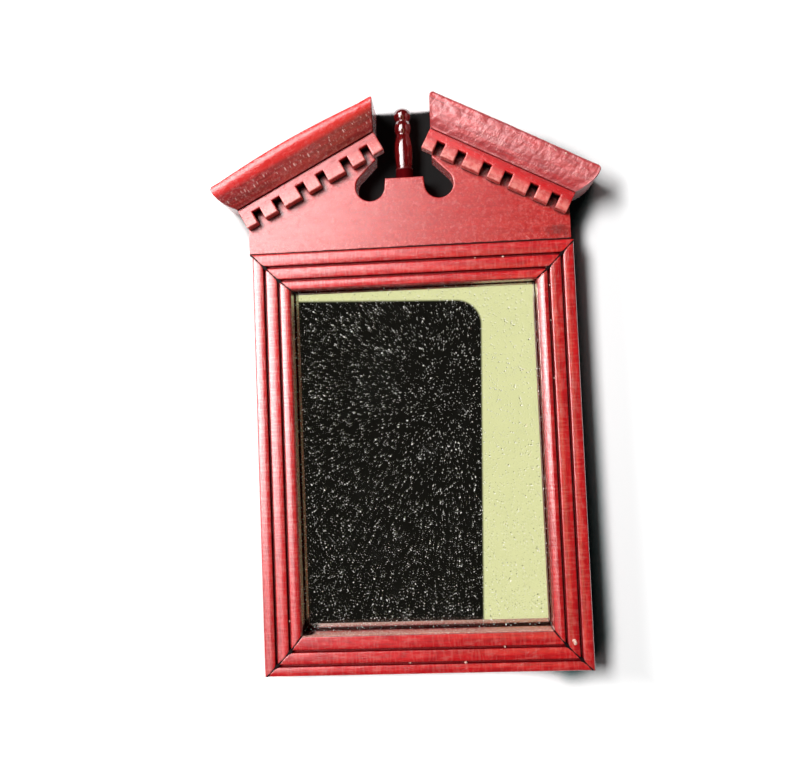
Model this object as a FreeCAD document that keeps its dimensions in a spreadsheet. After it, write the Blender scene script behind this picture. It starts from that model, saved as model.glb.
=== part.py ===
import FreeCAD, Part
import math
import os
import re
import Sketcher
from FreeCAD import Placement, Rotation, Vector

# A dolls'-house wall mirror at about one twelfth of full size, in millimetres.
# X runs to the right as the mirror is seen, Y runs into the wall and Z runs up.
# The origin is the middle of the backing board's back face, behind the middle of the glass.

DRIVING_SIZES = {
    # Sight opening of the frame, and the three reeds that run round it. The opening was cut a
    # little high, so the inner reed is narrower along the top than along the bottom.
    "sight_width": 43.65,
    "sight_height": 60.8,
    "top_inner_reed": 1.82,
    "side_inner_reed": 2.15,
    "bottom_inner_reed": 2.65,
    "reed_pitch": 2.44,
    "top_outer_reed": 2.43,
    "side_outer_reed": 2.17,
    "bottom_outer_reed": 1.86,
    "moulding_depth": 5.6,
    "reed_crown": 0.08,
    "reed_edge": 0.18,
    "groove_width": 0.44,
    "groove_depth": 0.7,
    "sight_round": 0.4,
    "outer_round": 0.35,
    "glue_line": 0.14,
    # Rabbet behind the sight edge, with the pane and the board that closes it
    "rabbet_width": 1.8,
    "rabbet_depth": 2.7,
    "glass_thickness": 1.6,
    "pane_clearance": 0.1,
    # Pediment board, measured from the middle of its gap and from the top of the frame
    "board_thickness": 4.4,
    "board_left": 28.49,
    "board_right": 29.12,
    "board_edge": 0.2,
    "pediment_shift": -0.77,
    "pedestal_width": 6.9,
    "pedestal_rise": 12.9,
    "drop_radius": 2.6,
    "drop_rise": 11.5,
    "drop_setback": 0.15,
    "drop_angle": 45,
    # Raking cornice on both arms of the board
    "rake_angle": 27.5,
    "eaves_rise": 7.93,
    "cornice_gap": 10.2,
    "cornice_length": 28,
    "crown_projection": 2.05,
    "return_projection": 2.2,
    "crown_reveal": 0.5,
    "ovolo_rise": 3.9,
    "ovolo_radius": 6,
    "crown_band": 1.5,
    "crown_round": 0.5,
    "return_round": 0.9,
    # Dentil strip under the crown, notched in evenly spaced pairs
    "strip_height": 3.75,
    "strip_thickness": 2.0,
    "strip_edge": 0.2,
    "notch_width": 1.5,
    "notch_rise": 2.25,
    "notch_spacing": 4.1,
    "notch_pair_pitch": 9.05,
    "notch_pair_count": 3,
    # Turned finial, from the pedestal up: tenon, base, quirk, vase, bead and knob
    "tenon_diameter": 1.5,
    "tenon_length": 2.2,
    "tenon_clearance": 0.05,
    "base_diameter": 3.12,
    "base_rise": 2.1,
    "quirk_rise": 0.35,
    "quirk_depth": 0.2,
    "neck_diameter": 2.5,
    "neck_rise": 0.15,
    "vase_foot_swell": 0.18,
    "vase_swell": 0.41,
    "vase_foot_rise": 3.0,
    "vase_top_rise": 2.8,
    "bead_swell": 0.3,
    "bead_rise": 2.3,
    "knob_swell": 0.35,
    "knob_rise": 2.25,
    "knob_flat_diameter": 1.7,
    # How far a cut runs past the wood it cuts
    "cut_overrun": 1,
}

WORKED_SIZES = {
    "top_outer_groove": "top_inner_reed + reed_pitch",
    "side_outer_groove": "side_inner_reed + reed_pitch",
    "bottom_outer_groove": "bottom_inner_reed + reed_pitch",
    "top_width": "top_outer_groove + top_outer_reed",
    "side_width": "side_outer_groove + side_outer_reed",
    "bottom_width": "bottom_outer_groove + bottom_outer_reed",
    "frame_side": "sight_width / 2 + side_width",
    "frame_top": "sight_height / 2 + top_width",
    "frame_bottom": "sight_height / 2 + bottom_width",
    "reed_shoulder": "moulding_depth - reed_crown",
    "groove_floor": "moulding_depth - groove_depth",
    "mitre_shift": "glue_line / sqrt(2)",
    "pane_half_width": "sight_width / 2 + rabbet_width - pane_clearance",
    "pane_half_height": "sight_height / 2 + rabbet_width - pane_clearance",
    "backing_thickness": "rabbet_depth - glass_thickness",
    "drop_inner": "pedestal_width / 2 + drop_setback",
    "drop_middle": "drop_inner + drop_radius",
    "drop_turn_across": "drop_middle + drop_radius * sin(drop_angle)",
    "drop_turn_rise": "drop_rise + drop_radius * cos(drop_angle)",
    "arm_end": "cornice_gap / 2",
    "arm_foot_rise": "drop_turn_rise + (drop_turn_across - arm_end) * tan(drop_angle)",
    "arm_top_rise": "eaves_rise + cornice_length * sin(rake_angle)",
    "board_left_rise": "arm_top_rise - (board_left - arm_end) * tan(rake_angle)",
    "board_right_rise": "arm_top_rise - (board_right - arm_end) * tan(rake_angle)",
    "cornice_middle_across": "arm_end + cornice_length / 2 * cos(rake_angle)",
    "cornice_middle_rise": "eaves_rise + cornice_length / 2 * sin(rake_angle)",
    "strip_front": "board_thickness + strip_thickness",
    "crown_foot": "strip_front + crown_reveal",
    "crown_front": "crown_foot + crown_projection",
    "crown_height": "ovolo_rise + crown_band",
    "crown_half": "cornice_length / 2",
    "crown_return": "crown_half + return_projection",
    "crown_lean": "crown_height * tan(rake_angle)",
    "overrun_lean": "cut_overrun * tan(rake_angle)",
    "first_pair": "(notch_pair_count - 1) / 2 * notch_pair_pitch",
    "finial_rise": "frame_top + pedestal_rise",
    "vase_foot": "base_rise + quirk_rise",
    "vase_belly": "vase_foot + vase_foot_rise",
    "vase_top": "vase_belly + vase_top_rise",
    "bead_foot": "vase_top + neck_rise",
    "bead_top": "bead_foot + bead_rise",
    "knob_foot": "bead_top + neck_rise",
    "knob_middle": "knob_foot + knob_rise / 2",
    "knob_top": "knob_foot + knob_rise",
}

doc = FreeCAD.newDocument("wall_mirror")
sheet = doc.addObject("Spreadsheet::Sheet", "Sizes")


def fill_sheet():
    """Writes each driving size as a plain number and each worked-out size as a formula."""
    contents = {alias: str(size) for alias, size in DRIVING_SIZES.items()}
    contents |= {alias: "=" + formula for alias, formula in WORKED_SIZES.items()}
    for row, (alias, content) in enumerate(contents.items(), 1):
        sheet.set(f"A{row}", alias)
        sheet.set(f"B{row}", content)
        sheet.setAlias(f"B{row}", alias)
    doc.recompute()


def bound(formula):
    """Puts the sheet's name before each size in a formula, as other objects need it."""
    names = DRIVING_SIZES.keys() | WORKED_SIZES.keys()
    return re.sub("[a-z_]+", lambda word: f"Sizes.{word[0]}" if word[0] in names else word[0], formula)


def value(formula):
    return float(sheet.evalExpression(bound(formula)))


def new_body(name):
    body = doc.addObject("PartDesign::Body", name)
    body.Label = name
    return body


def new_sketch(body, plane, name):
    sketch = body.newObject("Sketcher::SketchObject", name)
    origin_plane = next(item for item in body.Origin.OriginFeatures if item.Role == plane)
    sketch.AttachmentSupport = [(origin_plane, "")]
    sketch.MapMode = "FlatFace"
    return sketch


def arc_between(start, end, radius, turn):
    """An arc from start to end that turns left or right, a long one by over half a turn."""
    chord = end - start
    reach = math.sqrt(max(radius ** 2 - (chord.Length / 2) ** 2, 0))
    side = 1 if turn in ("left", "long right") else -1
    centre = (start + end) / 2 + Vector(-chord.y, chord.x, 0).normalize() * (reach * side)
    first, last = (start, end) if turn == "left" else (end, start)
    angles = [math.atan2(spot.y - centre.y, spot.x - centre.x) for spot in (first, last)]
    return Part.ArcOfCircle(Part.Circle(centre, Vector(0, 0, 1), radius), *angles)


def bind(sketch, kind, places, formula):
    """Adds one dimension to the sketch and binds it to the sheet."""
    index = sketch.addConstraint(Sketcher.Constraint(kind, *places, value(formula)))
    sketch.setExpression(f"Constraints[{index}]", bound(formula))


def outline(sketch, corners):
    """Closes a loop through corners, each given as a formula across and one along.

    A corner may also hold the radius and the turn of the arc that leaves it.
    """
    spots = [Vector(value(across), value(along), 0) for across, along, *_ in corners]
    starts = []
    ends = []
    for spot, next_spot, (_, _, *bend) in zip(spots, spots[1:] + spots[:1], corners):
        if bend:
            radius, turn = bend
            edge = sketch.addGeometry(arc_between(spot, next_spot, value(radius), turn))
            bind(sketch, "Radius", (edge,), radius)
        else:
            edge = sketch.addGeometry(Part.LineSegment(spot, next_spot))
        drawn_forward = not bend or bend[1] == "left"
        starts.append((edge, 1 if drawn_forward else 2))
        ends.append((edge, 2 if drawn_forward else 1))
    for start, last_end, (across, along, *_) in zip(starts, ends[-1:] + ends, corners):
        sketch.addConstraint(Sketcher.Constraint("Coincident", *last_end, *start))
        bind(sketch, "DistanceX", (-1, 1, *start), across)
        bind(sketch, "DistanceY", (-1, 1, *start), along)


def mirrored(corners):
    """The same corners on the other side of the middle line."""
    other_turn = {"left": "right", "right": "left"}
    return [
        (f"-({across})", along, *bend[:1], *(other_turn[turn] for turn in bend[1:]))
        for across, along, *bend in corners
    ]


def pad(body, sketch, length, back_length=None):
    """Pads a sketch forwards by one length and, where it is given, backwards by another."""
    feature = body.newObject("PartDesign::Pad", f"{body.Name}_pad")
    feature.Profile = sketch
    feature.setExpression("Length", bound(length))
    if back_length:
        feature.SideType = "Two sides"
        feature.setExpression("Length2", bound(back_length))
    doc.recompute()


def pocket(body, sketch, name, depth=None):
    """Cuts a sketch to a depth behind its plane, or right through both ways."""
    volume = body.Shape.Volume
    feature = body.newObject("PartDesign::Pocket", name)
    feature.Profile = sketch
    if depth:
        feature.setExpression("Length", bound(depth))
    else:
        feature.SideType = "Symmetric"
        feature.Type = "ThroughAll"
    doc.recompute()
    if body.Shape.Volume >= volume:
        raise RuntimeError(f"{name} takes nothing off {body.Label}")
    return feature


def round_edges(body, radius, chosen):
    """Rounds the edges of the body so far that pass the chosen test."""
    base = body.Tip
    picked = [f"Edge{number}" for number, edge in enumerate(base.Shape.Edges, 1) if chosen(edge)]
    feature = body.newObject("PartDesign::Fillet", f"{body.Name}_round")
    feature.Base = (base, picked)
    feature.setExpression("Radius", bound(radius))
    doc.recompute()


def lies_at_front(edge, front):
    """Whether an edge lies all along on the plane that far in front of the body's back."""
    box = edge.BoundBox
    return max(abs(box.YMin + front), abs(box.YMax + front)) < Part.Precision.confusion() * 10


def place(body, across="0", depth="0", rise="0", turn=0):
    """Turns a body about the line into the wall, then moves it to its place."""
    body.Placement = Placement(Vector(), Rotation(Vector(0, 1, 0), turn))
    for axis, formula in zip("xyz", (across, depth, rise)):
        body.setExpression(f"Placement.Base.{axis}", bound(formula))


def reed_flat(top, foot):
    """The barely crowned face of one reed, as the arc that leaves its upper edge."""
    width = f"({top} - ({foot}))"
    radius = f"{width} * {width} / (8 * reed_crown) + reed_crown / 2"
    return ("-reed_shoulder", top, radius, "left")


def moulding_outline(side):
    """Section of one side's moulding, with its front on the left and the sight edge below."""
    width = f"{side}_width"
    corners = [
        ("0", "rabbet_width"),
        ("0", width),
        ("outer_round - reed_shoulder", width, "outer_round", "left"),
    ]
    reed_top = f"{width} - outer_round"
    for groove in (f"{side}_outer_groove", f"{side}_inner_reed"):
        upper_side = f"{groove} + groove_width / 2"
        lower_side = f"{groove} - groove_width / 2"
        corners += [
            reed_flat(reed_top, f"{upper_side} + reed_edge"),
            ("-reed_shoulder", f"{upper_side} + reed_edge", "reed_edge", "left"),
            ("reed_edge - reed_shoulder", upper_side),
            ("-groove_floor", upper_side),
            ("-groove_floor", lower_side),
            ("reed_edge - reed_shoulder", lower_side, "reed_edge", "left"),
        ]
        reed_top = f"{lower_side} - reed_edge"
    return corners + [
        reed_flat(reed_top, "sight_round"),
        ("-reed_shoulder", "sight_round", "sight_round", "left"),
        ("sight_round - reed_shoulder", "0"),
        ("-rabbet_depth", "0"),
        ("-rabbet_depth", "rabbet_width"),
    ]


def mitre_waste(side, next_side, sight_length):
    """What a mitre takes off a rail's forward end, up to the side that it meets there.

    It runs from the corner of the sight opening through the crossing of the inner grooves, and
    from there on at 45 degrees.
    """
    corner = f"{sight_length} / 2 - mitre_shift"
    crossing = f"{corner} + {next_side}_inner_reed"
    outside = f"{side}_width + cut_overrun"
    beyond = f"{crossing} + {outside} - {side}_inner_reed"
    return [
        (corner, "0"),
        (corner, "-cut_overrun"),
        (beyond, "-cut_overrun"),
        (beyond, outside),
        (crossing, f"{side}_inner_reed"),
    ]


def make_rail(name, side, forward_side, backward_side, sight_length):
    """One side of the frame, lying along X with its sight edge on the X axis.

    Its mitred ends are squared where the frame's own outline cuts the mitres short.
    """
    body = new_body(name)
    section = new_sketch(body, "YZ_Plane", f"{name}_section")
    outline(section, moulding_outline(side))
    pad(body, section, f"frame_{forward_side}", f"frame_{backward_side}")
    mitres = new_sketch(body, "XZ_Plane", f"{name}_mitres")
    outline(mitres, mitre_waste(side, forward_side, sight_length))
    outline(mitres, mirrored(mitre_waste(side, backward_side, sight_length)))
    pocket(body, mitres, f"{name}_mitre_cut")
    return body


def make_frame():
    """The four mitred sides of the frame."""
    half_height = "sight_height / 2"
    half_width = "sight_width / 2"
    place(make_rail("top_rail", "top", "side", "side", "sight_width"), rise=half_height)
    place(make_rail("bottom_rail", "bottom", "side", "side", "sight_width"),
          rise=f"-{half_height}", turn=180)
    place(make_rail("left_stile", "side", "top", "bottom", "sight_height"),
          across=f"-{half_width}", turn=-90)
    place(make_rail("right_stile", "side", "bottom", "top", "sight_height"),
          across=half_width, turn=90)


def make_pane(name, thickness):
    """A flat plate that fills the rabbet, but for its clearance."""
    body = new_body(name)
    face = new_sketch(body, "XZ_Plane", f"{name}_face")
    outline(face, [
        ("-pane_half_width", "-pane_half_height"),
        ("pane_half_width", "-pane_half_height"),
        ("pane_half_width", "pane_half_height"),
        ("-pane_half_width", "pane_half_height"),
    ])
    pad(body, face, thickness)
    return body


def make_pediment_board():
    """The broken pediment: two raking arms, with a pedestal between two drop-shaped cuts."""
    body = new_body("pediment_board")
    face = new_sketch(body, "XZ_Plane", "pediment_face")
    gap = [
        ("arm_end", "arm_top_rise"),
        ("arm_end", "arm_foot_rise"),
        ("drop_turn_across", "drop_turn_rise", "drop_radius", "long right"),
        ("drop_inner", "drop_rise"),
        ("pedestal_width / 2", "pedestal_rise"),
        ("-pedestal_width / 2", "pedestal_rise"),
        ("-drop_inner", "drop_rise", "drop_radius", "long right"),
        ("-drop_turn_across", "drop_turn_rise"),
        ("-arm_end", "arm_foot_rise"),
        ("-arm_end", "arm_top_rise"),
    ]
    outline(face, [
        ("-board_left", "0"),
        ("board_right", "0"),
        ("board_right", "board_right_rise"),
        *gap,
        ("-board_left", "board_left_rise"),
    ])
    pad(body, face, "board_thickness")
    front = value("board_thickness")
    gap_limit = value("drop_middle + drop_radius") + value("board_edge")
    gap_floor = value("drop_rise - drop_radius") - value("board_edge")
    round_edges(body, "board_edge", lambda edge: lies_at_front(edge, front)
                and edge.BoundBox.ZMin > gap_floor
                and max(abs(edge.BoundBox.XMin), abs(edge.BoundBox.XMax)) < gap_limit)
    socket = new_sketch(body, "XY_Plane", "finial_socket")
    socket.setExpression("AttachmentOffset.Base.z", bound("pedestal_rise"))
    rim = socket.addGeometry(Part.Circle(Vector(), Vector(0, 0, 1), value("tenon_diameter / 2")))
    bind(socket, "Radius", (rim,), "tenon_diameter / 2 + tenon_clearance")
    bind(socket, "DistanceX", (-1, 1, rim, 3), "0")
    bind(socket, "DistanceY", (-1, 1, rim, 3), "-board_thickness / 2")
    pocket(body, socket, "finial_socket_cut", depth="tenon_length + tenon_clearance")
    place(body, across="pediment_shift", rise="frame_top")


def place_on_rake(body, side):
    """Sets a piece of cornice, made level about its middle, along one raking arm."""
    place(
        body,
        across=f"pediment_shift + {side} * cornice_middle_across",
        rise="frame_top + cornice_middle_rise",
        turn=side * value("rake_angle"),
    )


def make_crown(name, side):
    """Crown moulding: ovolo and band, returned at the eaves and cut plumb at the gap."""
    body = new_body(name)
    section = new_sketch(body, "YZ_Plane", f"{name}_section")
    outline(section, [
        ("-crown_foot", "0"),
        ("0", "0"),
        ("0", "crown_height"),
        ("crown_round - crown_front", "crown_height", "crown_round", "left"),
        ("-crown_front", "crown_height - crown_round"),
        ("-crown_front", "ovolo_rise", "ovolo_radius", "left"),
    ])
    gap_reach = "crown_half + crown_lean + cut_overrun"
    eaves_reach = "crown_return + cut_overrun"
    reaches = (gap_reach, eaves_reach) if side < 0 else (eaves_reach, gap_reach)
    pad(body, section, *reaches)
    past_top = "crown_height + cut_overrun"
    eaves_end = [
        ("-crown_half", "-cut_overrun"),
        ("-crown_half", "0", "ovolo_radius", "right"),
        ("-crown_return", "ovolo_rise"),
        ("-crown_return", "crown_height - return_round", "return_round", "right"),
        ("return_round - crown_return", "crown_height"),
        ("return_round - crown_return", past_top),
        ("-crown_return - 2 * cut_overrun", past_top),
        ("-crown_return - 2 * cut_overrun", "-cut_overrun"),
    ]
    gap_end = [
        ("crown_half - overrun_lean", "-cut_overrun"),
        ("crown_half + crown_lean + 2 * cut_overrun", "-cut_overrun"),
        ("crown_half + crown_lean + 2 * cut_overrun", past_top),
        ("crown_half + crown_lean + overrun_lean", past_top),
    ]
    for end_name, waste in (("eaves", eaves_end), ("gap", gap_end)):
        end = new_sketch(body, "XZ_Plane", f"{name}_{end_name}")
        outline(end, waste if side < 0 else mirrored(waste))
        pocket(body, end, f"{name}_{end_name}_cut")
    place_on_rake(body, side)


def make_dentil_strip(name, side):
    """The strip under a crown, with notches that leave a row of square teeth."""
    body = new_body(name)
    section = new_sketch(body, "YZ_Plane", f"{name}_section")
    outline(section, [
        ("-strip_front", "-strip_height"),
        ("-board_thickness", "-strip_height"),
        ("-board_thickness", "0"),
        ("-strip_front", "0"),
    ])
    pad(body, section, "cornice_length / 2", "cornice_length / 2")
    pair = new_sketch(body, "XZ_Plane", f"{name}_notches")
    notch_top = "notch_rise - strip_height"
    for shift in ("- notch_spacing / 2", "+ notch_spacing / 2"):
        middle = f"-first_pair {shift}"
        outline(pair, [
            (f"{middle} - notch_width / 2", "-strip_height - cut_overrun"),
            (f"{middle} + notch_width / 2", "-strip_height - cut_overrun"),
            (f"{middle} + notch_width / 2", notch_top),
            (f"{middle} - notch_width / 2", notch_top),
        ])
    notches = pocket(body, pair, f"{name}_notch_cut")
    row = body.newObject("PartDesign::LinearPattern", f"{name}_notch_row")
    row.Originals = [notches]
    row.Direction = (pair, ["H_Axis"])
    row.setExpression("Length", bound("first_pair * 2"))
    row.setExpression("Occurrences", bound("notch_pair_count"))
    body.Tip = row
    doc.recompute()
    front = value("strip_front")
    round_edges(body, "strip_edge", lambda edge: lies_at_front(edge, front)
                and edge.BoundBox.ZMax < -value("strip_edge"))
    place_on_rake(body, side)


def swell_radius(rise, swell):
    """Radius of an arc that climbs by rise while it comes in by swell from its widest place."""
    return f"(({rise}) * ({rise}) + ({swell}) * ({swell})) / (2 * ({swell}))"


def make_finial():
    """The turned finial, with the tenon that stands in the pedestal."""
    body = new_body("finial")
    neck = "neck_diameter / 2"
    belly = f"{neck} + vase_swell"
    knob = f"{neck} + knob_swell"
    profile = new_sketch(body, "XZ_Plane", "finial_profile")
    outline(profile, [
        ("0", "-tenon_length"),
        ("tenon_diameter / 2", "-tenon_length"),
        ("tenon_diameter / 2", "0"),
        ("base_diameter / 2", "0"),
        ("base_diameter / 2", "base_rise"),
        ("base_diameter / 2 - quirk_depth", "base_rise"),
        ("base_diameter / 2 - quirk_depth", "vase_foot"),
        (f"{neck} + vase_foot_swell", "vase_foot",
         swell_radius("vase_foot_rise", "vase_swell - vase_foot_swell"), "left"),
        (belly, "vase_belly", swell_radius("vase_top_rise", "vase_swell"), "left"),
        (neck, "vase_top"),
        (neck, "bead_foot", swell_radius("bead_rise / 2", "bead_swell"), "left"),
        (neck, "bead_top"),
        (neck, "knob_foot", swell_radius("knob_rise / 2", "knob_swell"), "left"),
        (knob, "knob_middle", swell_radius("knob_rise / 2", f"{knob} - knob_flat_diameter / 2"),
         "left"),
        ("knob_flat_diameter / 2", "knob_top"),
        ("0", "knob_top"),
    ])
    turned = body.newObject("PartDesign::Revolution", "finial_turned")
    turned.Profile = profile
    turned.ReferenceAxis = (profile, ["V_Axis"])
    turned.Angle = 360
    place(body, across="pediment_shift", depth="-board_thickness / 2", rise="finial_rise")


def check_and_write():
    """Stops on a failed object or an unsound shape, then writes each body to its own file."""
    doc.recompute()
    for item in doc.Objects:
        if "Invalid" in item.State or "Error" in item.State:
            raise RuntimeError(f"{item.Label} failed: {item.State}")
    bodies = [item for item in doc.Objects if item.TypeId == "PartDesign::Body"]
    for body in bodies:
        if body.Shape.isNull() or not body.Shape.isValid() or len(body.Shape.Solids) != 1:
            raise RuntimeError(f"{body.Label} is not one sound solid")
    os.makedirs("parts", exist_ok=True)
    for body in bodies:
        body.Shape.exportStep(f"parts/{body.Label}.step")
        box = body.Shape.BoundBox
        print(f"{body.Label}: {body.Shape.Volume:.1f} mm3, X {box.XMin:.2f} to {box.XMax:.2f}, "
              f"Y {box.YMin:.2f} to {box.YMax:.2f}, Z {box.ZMin:.2f} to {box.ZMax:.2f}")


fill_sheet()
make_frame()
place(make_pane("mirror_glass", "glass_thickness"), depth="-backing_thickness")
place(make_pane("backing_board", "backing_thickness"))
make_pediment_board()
for arm, arm_side in (("left", -1), ("right", 1)):
    make_crown(f"{arm}_crown", arm_side)
    make_dentil_strip(f"{arm}_dentil_strip", arm_side)
make_finial()
check_and_write()
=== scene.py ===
# %% [markdown]
# # A dolls'-house wall mirror, dressed in Blender
# The solids come from the CAD part: four mitred sides of reeded moulding, a pediment board, two
# cornices with their dentil strips, a turned finial, a silvered pane and the board behind it.
# This script gives them what solids can't show: red mahogany stain under lacquer, wear, dust,
# cutter marks, studio light and a camera.
#
# X runs to the right as the mirror is seen, Y into the wall and Z up, and the middle of the
# back lies at the origin. Blender works in metres and the mirror is a tenth of a metre tall, so
# sizes below are written in millimetres and multiplied by MM.

# %% Load the solids
import math

import bmesh
import bpy
import numpy as np
from mathutils import Euler, Matrix, Vector, noise


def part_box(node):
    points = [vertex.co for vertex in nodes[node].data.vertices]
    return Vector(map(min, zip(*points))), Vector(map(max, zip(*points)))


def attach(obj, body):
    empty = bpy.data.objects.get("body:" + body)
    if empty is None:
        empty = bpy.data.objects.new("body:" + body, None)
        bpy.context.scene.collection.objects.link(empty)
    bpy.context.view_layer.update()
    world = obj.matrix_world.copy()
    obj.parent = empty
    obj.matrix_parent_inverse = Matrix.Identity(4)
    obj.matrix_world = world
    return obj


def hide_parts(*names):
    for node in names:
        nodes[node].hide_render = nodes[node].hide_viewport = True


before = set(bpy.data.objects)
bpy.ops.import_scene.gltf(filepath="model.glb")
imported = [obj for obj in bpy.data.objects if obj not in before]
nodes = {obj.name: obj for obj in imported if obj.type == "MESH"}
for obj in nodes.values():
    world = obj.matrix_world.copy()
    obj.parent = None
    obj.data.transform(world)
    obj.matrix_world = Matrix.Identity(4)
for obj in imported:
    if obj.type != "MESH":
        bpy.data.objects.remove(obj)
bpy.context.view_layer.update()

MM = 0.001

# %% [markdown]
# ## The camera
# The mirror was seen from straight in front and very close, about 14 cm away, so its outer
# parts spread towards the viewer and its inner walls show on all four sides. The place and turn
# below came from matching the grooves and the corners of the pediment. A little lens shift
# stands for the way the picture was cropped.

# %% Set up the camera
def add_to_scene(name, data):
    piece = bpy.data.objects.new(name, data)
    scene.collection.objects.link(piece)
    return piece


SENSOR_WIDTH = 36.0
IMAGE_WIDTH = 800
FOCAL_PIXELS = 770
CAMERA_PLACE = (5.625, -140.85, 10.98)
CAMERA_TURN = (92.847, 2.304, 3.197)
camera_data = bpy.data.cameras.new("camera")
camera_data.sensor_width = SENSOR_WIDTH
camera_data.lens = SENSOR_WIDTH * FOCAL_PIXELS / IMAGE_WIDTH
camera_data.shift_x = -0.0075
camera_data.shift_y = -0.0434
camera_data.clip_start = 1 * MM
scene = bpy.context.scene
camera = add_to_scene("camera", camera_data)
camera.location = Vector(CAMERA_PLACE) * MM
camera.rotation_euler = Euler([math.radians(turn) for turn in CAMERA_TURN])
scene.camera = camera
scene.view_settings.view_transform = "Standard"
print(f"Camera: {camera_data.lens:.2f} mm lens, {-camera.location.y / MM:.0f} mm in front")

# %% [markdown]
# ## Short names for node work
# Every finish below is a net of shader nodes. Small helpers keep the nets readable: one adds a
# node and fills or joins its inputs, and the others do sums, stretch a value to a new range, mix
# two colours, make noise, split a place into its parts and place a node group. Two more give a
# new material and the place of a point in millimetres. Paint turns an everyday 0 to 255 colour
# into Blender's linear one.

# %% Helpers for node nets
def node(tree, kind, inputs=None, **settings):
    """Adds a shader node, sets its options, then fills or joins its inputs."""
    made = tree.nodes.new("ShaderNode" + kind)
    for name, setting in settings.items():
        setattr(made, name, setting)
    for name, given in (inputs or {}).items():
        if isinstance(given, bpy.types.NodeSocket):
            tree.links.new(given, made.inputs[name])
        else:
            made.inputs[name].default_value = given
    return made


def calc(tree, operation, first, second=0.0):
    return node(tree, "Math", {0: first, 1: second}, operation=operation).outputs[0]


def times(tree, first, second):
    return calc(tree, "MULTIPLY", first, second)


def plus(tree, first, second):
    return calc(tree, "ADD", first, second)


def minus(tree, first, second):
    return calc(tree, "SUBTRACT", first, second)


def larger(tree, first, second):
    return calc(tree, "MAXIMUM", first, second)


def off_from(tree, value, middle, half=0.0):
    """How far a value lies from a middle, less a half width."""
    off = calc(tree, "ABSOLUTE", minus(tree, value, middle))
    return minus(tree, off, half)


def remap(tree, value, low, high, new_low=0.0, new_high=1.0):
    """Stretches a value smoothly from one range to another, and stops at both ends."""
    stretched = node(tree, "MapRange", {
        "Value": value, "From Min": low, "From Max": high, "To Min": new_low, "To Max": new_high,
    }, interpolation_type="SMOOTHSTEP")
    return stretched.outputs["Result"]


def blend(tree, share, first, second):
    """Mixes two colours, from the first at share 0 to the second at share 1."""
    return node(tree, "Mix", {0: share, 6: first, 7: second}, data_type="RGBA").outputs[2]


def soft_noise(tree, place, scale, detail, roughness=0.5):
    """A cloudy value around 0.5. Its scale is in clouds per millimetre."""
    return node(tree, "TexNoise", {
        "Vector": place, "Scale": scale, "Detail": detail, "Roughness": roughness}).outputs["Fac"]


def drawn(tree, place, scale, turn=(0, 0, 0)):
    """A place drawn out by a scale, and then turned."""
    return node(tree, "Mapping", {
        "Vector": place, "Scale": scale, "Rotation": turn}).outputs[0]


def split(tree, vector):
    return node(tree, "SeparateXYZ", {0: vector}).outputs


def use(tree, group, inputs):
    """Places a node group and gives its outputs."""
    return node(tree, "Group", inputs, node_tree=group).outputs


def show(tree, shader):
    node(tree, "OutputMaterial", {"Surface": shader.outputs[0]})


def paint(red, green, blue):
    channels = [channel / 255 for channel in (red, green, blue)]
    linear = [c / 12.92 if c <= 0.04045 else ((c + 0.055) / 1.055) ** 2.4 for c in channels]
    return (*linear, 1.0)


def new_material(name):
    material = bpy.data.materials.new(name)
    material.use_nodes = True
    material.node_tree.nodes.clear()
    return material, material.node_tree


def tilt(angle):
    """A turn in the plane of the wall, for a Mapping node."""
    return (0, math.radians(angle), 0)


def place_in_mm(tree, turn=(0, 0, 0)):
    """Where a point of the surface lies, in millimetres, turned so that X runs with the grain."""
    turned = tuple(math.radians(angle) for angle in turn)
    return drawn(tree, node(tree, "TexCoord").outputs["Object"], (1 / MM,) * 3, turned)


# %% [markdown]
# ## The room: a pale wall, a window and two cards
# The mirror hangs flat on a pale wall. One broad window, to the left and a little above, gives
# nearly all the light, so reeds and teeth throw soft shadows to the right. The world only lifts
# the shadows. It is white to the camera, which keeps the background clean, and dim in reflections.

# %% Make the world
world = bpy.data.worlds.new("studio")
scene.world = world
world.use_nodes = True
tree = world.node_tree
tree.nodes.clear()
AMBIENT = 0.1
IN_REFLECTIONS = 0.05
path = node(tree, "LightPath").outputs
seen = larger(tree, path["Is Camera Ray"], path["Is Transmission Ray"])
seen = larger(tree, seen, times(tree, path["Is Glossy Ray"], IN_REFLECTIONS))
strength = node(tree, "MapRange", {"Value": seen, "To Min": AMBIENT, "To Max": 1.0})
background = node(tree, "Background", {"Color": (1, 1, 1, 1), "Strength": strength.outputs[0]})
node(tree, "OutputWorld", {"Surface": background.outputs[0]})
print("World: white to the eye, ambient strength", AMBIENT)

# %% [markdown]
# The wall stands a hair's breadth behind the mirror and catches its shadow. Its paint is made
# brighter than real white away from the mirror, so that the open wall stays clean. The surround,
# where it isn't, is given as a middle and a half width, across and up. Its colour also carries
# painted shadow: it darkens with ambient occlusion near the mirror, and most in the narrow gaps
# of the pediment and in the lee of the right stile. Below the frame it is painted paler, which
# takes away part of the shadow there. Where it is darkest beside the right stile, a painted cyan
# tint cancels the red light that the stained wood throws on it. From behind it is clear, so that
# the mirror's back can be seen.

# %% Hang the wall
def upright_sheet(name, left, right, low, high, depth):
    """A flat sheet that faces the camera. Its edges are in millimetres."""
    mesh = bpy.data.meshes.new(name)
    corners = [(left, depth, low), (right, depth, low), (right, depth, high), (left, depth, high)]
    mesh.from_pydata([Vector(corner) * MM for corner in corners], [], [(0, 1, 2, 3)])
    sheet = add_to_scene(name, mesh)
    return sheet


def hide_from(sheet, *kinds):
    for kind in kinds:
        setattr(sheet, f"visible_{kind}", False)


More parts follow.
